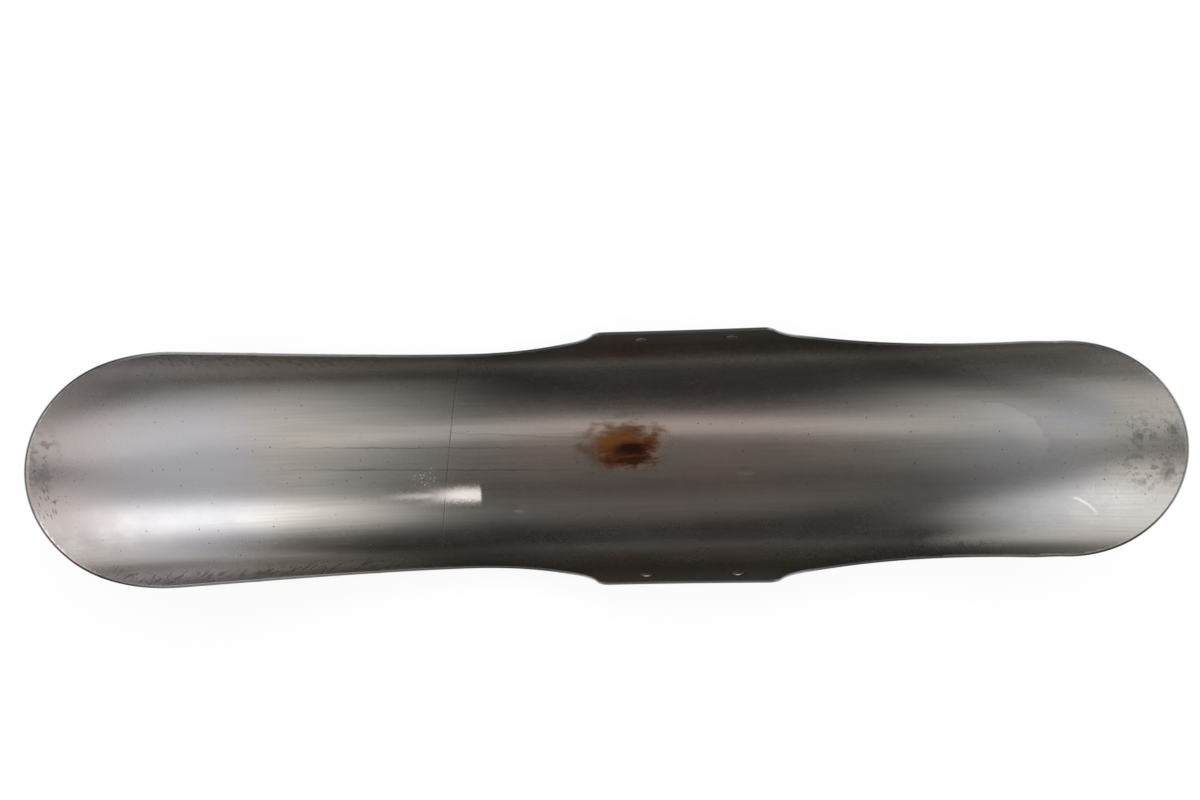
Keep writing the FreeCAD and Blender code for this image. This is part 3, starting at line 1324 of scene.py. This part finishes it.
@dataclass
class Studio:
    """White floor, soft lights and the camera straight above."""

    lens: float = 67.36
    sensor: float = 36.0
    camera_height: float = 1.3
    camera_offset: Flat = (-0.00341, 0.03314)
    camera_turn: float = math.radians(1.369)
    camera_tilt: float = math.radians(-0.935)
    floor_size: float = 30.0
    floor_gap: float = 0.0003
    floor_colour: Colour = (0.95, 0.95, 0.95, 1.0)
    white: Colour = (1.0, 1.0, 1.0, 1.0)
    floor_white_share: float = 0.86
    fill_place: tuple[float, float, float] = (0.0, 0.3, 2.2)
    fill_size: Flat = (2.4, 2.0)
    fill_power: float = 55.0
    card_lift: float = 0.001
    card_colour: Colour = (0.12, 0.12, 0.12, 1.0)
    right_card: tuple[Side, Side] = ((-0.20, 0.50, -0.25), (-5.0, 5.5, -5.0))
    left_card: tuple[Side, Side] = ((-0.40, 0.40, 0.30), (-0.40, 0.40, 1.20))
    dim: float = 0.02
    horizon: float = 0.9
    horizon_height: float = 0.05
    horizon_ends: Flat = (0.45, 0.85)
    window: float = 1.8
    window_lean: float = 0.36
    window_across: float = 0.82
    window_half_widths: Flat = (0.17, 0.05)
    window_ahead: Flat = (0.30, 0.80)
    glows: tuple[Glow, ...] = (
        Glow(0.92, Reach.MIDDLE, 0.90, 0.62, -26.0, 10.0, 1.0),
        Glow(0.06, Reach.MIDDLE, 0.95, 0.70, -34.0, 24.0, 6.0),
        Glow(0.52, Reach.AHEAD, 0.15, 0.70, -58.0, 38.0, 10.0),
        Glow(0.58, Reach.BEHIND, 0.42, 0.85, -48.0, 36.0, 12.0),
        Glow(0.18, Reach.MIDDLE, 0.90, 0.50, 42.0, 18.0, 5.0),
        Glow(1.15, Reach.BEHIND, 0.50, 0.85, 92.0, 37.0, 14.0),
        Glow(0.65, Reach.AHEAD, 0.40, 0.92),
        Glow(0.31, Reach.BEHIND, 0.65, 1.00),
        Glow(0.18, Reach.MIDDLE, 1.20, 1.10, 0.0, 40.0, 4.0),
    )

    def camera(self) -> None:
        """Puts the camera above the hollow side, as the photograph was taken."""
        data = bpy.data.cameras.new("camera")
        data.lens = self.lens
        data.sensor_width = self.sensor
        data.sensor_fit = "HORIZONTAL"
        camera = put("camera", data)
        aim = Matrix.Rotation(-self.camera_tilt, 4, "X") @ Matrix.Rotation(-self.camera_turn, 4, "Z")
        camera.matrix_world = aim @ Matrix.Translation((*self.camera_offset, self.camera_height))
        bpy.context.scene.camera = camera

    def floor(self) -> None:
        """Lays a white floor that keeps the object's shadow."""
        mesh = bmesh.new()
        bmesh.ops.create_grid(mesh, x_segments=1, y_segments=1, size=self.floor_size / 2)
        bmesh.ops.translate(mesh, verts=mesh.verts, vec=(0.0, 0.0, -self.floor_gap))
        floor = put_mesh("floor", mesh)
        shader = Shader(bpy.data.materials.new("white_floor"))
        path = shader.node("ShaderNodeLightPath", {}, {})
        seen = shader.value(path, "Is Camera Ray").most(shader.value(path, "Is Glossy Ray"))
        seen = seen.most(shader.value(path, "Is Transmission Ray"))
        matt = shader.node("ShaderNodeBsdfDiffuse", {}, {"Color": self.floor_colour})
        white = shader.node("ShaderNodeEmission", {}, {"Color": self.white, "Strength": 1.0})
        blend = shader.node(
            "ShaderNodeMixShader",
            {},
            {0: seen * self.floor_white_share, 1: matt.outputs[0], 2: white.outputs[0]},
        )
        shader.node("ShaderNodeOutputMaterial", {}, {"Surface": blend.outputs[0]})
        floor.data.materials.append(shader.owner)

    def fill(self) -> None:
        """Hangs a soft box over the fender, aimed at its crown. The steel doesn't mirror it."""
        data = bpy.data.lights.new("fill", "AREA")
        data.shape = "RECTANGLE"
        data.size, data.size_y = self.fill_size
        data.energy = self.fill_power
        lamp = put("fill", data)
        away = Vector(self.fill_place).normalized()
        across = away.cross(Vector((1.0, 0.0, 0.0))).normalized()
        along = across.cross(away)
        turn = Matrix((along, across, away)).transposed().to_4x4()
        lamp.matrix_world = Matrix.Translation(self.fill_place) @ turn
        lamp.visible_camera = False
        lamp.visible_glossy = False

    def dark_card(self, name: str, near: Side, far: Side) -> None:
        """Lays a dark card beside the fender, which only its mirror sees.

        Args:
            name: name of the card.
            near: lowest X, highest X and Y of its side by the fender, in metres.
            far: the same of its far side.
        """
        mesh = bmesh.new()
        bmesh.ops.create_grid(mesh, x_segments=1, y_segments=1, size=1.0)
        for way, (low, high, off) in ((-1, near), (1, far)):
            side = [vert for vert in mesh.verts if vert.co.y * way > 0]
            bmesh.ops.scale(mesh, verts=side, vec=((high - low) / 2, 0.0, 1.0))
            bmesh.ops.translate(mesh, verts=side, vec=((low + high) / 2, off, self.card_lift))
        bmesh.ops.recalc_face_normals(mesh, faces=mesh.faces)
        card = put_mesh(name, mesh)
        shader = Shader(bpy.data.materials.new(name))
        matt = shader.node("ShaderNodeBsdfDiffuse", {}, {"Color": self.card_colour})
        shader.node("ShaderNodeOutputMaterial", {}, {"Surface": matt.outputs[0]})
        card.data.materials.append(shader.owner)
        card.visible_camera = False
        card.visible_diffuse = False
        card.visible_shadow = False

    def room(self) -> None:
        """Paints the room that the steel mirrors: soft lights, a window and a pale rim along the horizon."""
        world = bpy.data.worlds.new("room")
        bpy.context.scene.world = world
        shader = Shader(world)
        way = shader.node("ShaderNodeTexCoord", {}, {})
        parts = shader.node("ShaderNodeSeparateXYZ", {}, {0: way.outputs["Generated"]})
        ahead, across, up = (shader.value(parts, i) for i in range(3))
        roll = across.angle(up) * math.degrees(1.0)
        rim = up.rise(self.horizon_height, 0.0) * abs(ahead).rise(*self.horizon_ends) * self.horizon
        sill = abs(across + self.window_lean * ahead - self.window_across).rise(*self.window_half_widths)
        light = rim + self.dim + sill * ahead.rise(*self.window_ahead) * self.window
        for glow in self.glows:
            light = light + glow.light(ahead, roll)
        walls = shader.node("ShaderNodeBackground", {}, {"Color": self.white, "Strength": light})
        shader.node("ShaderNodeOutputWorld", {}, {"Surface": walls.outputs[0]})

    def build(self) -> None:
        """Sets up camera, floor and lights."""
        self.camera()
        self.floor()
        self.fill()
        self.dark_card("card_right", *self.right_card)
        self.dark_card("card_left", *self.left_card)
        self.room()
        bpy.context.scene.view_settings.view_transform = "Standard"


def main() -> None:
    """Builds the fender and its studio, and reports each piece."""
    logging.basicConfig(level=logging.INFO, format="%(name)s: %(message)s")
    piece = Fender().build()
    piece.data.materials.append(RawSteel().material())
    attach(piece, BODY)
    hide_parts(NODE)
    LOG.info("%s: %d faces", piece.name, len(piece.data.polygons))
    Studio().build()
    LOG.info("studio: floor, lights and camera")


if __name__ == "__main__":
    main()
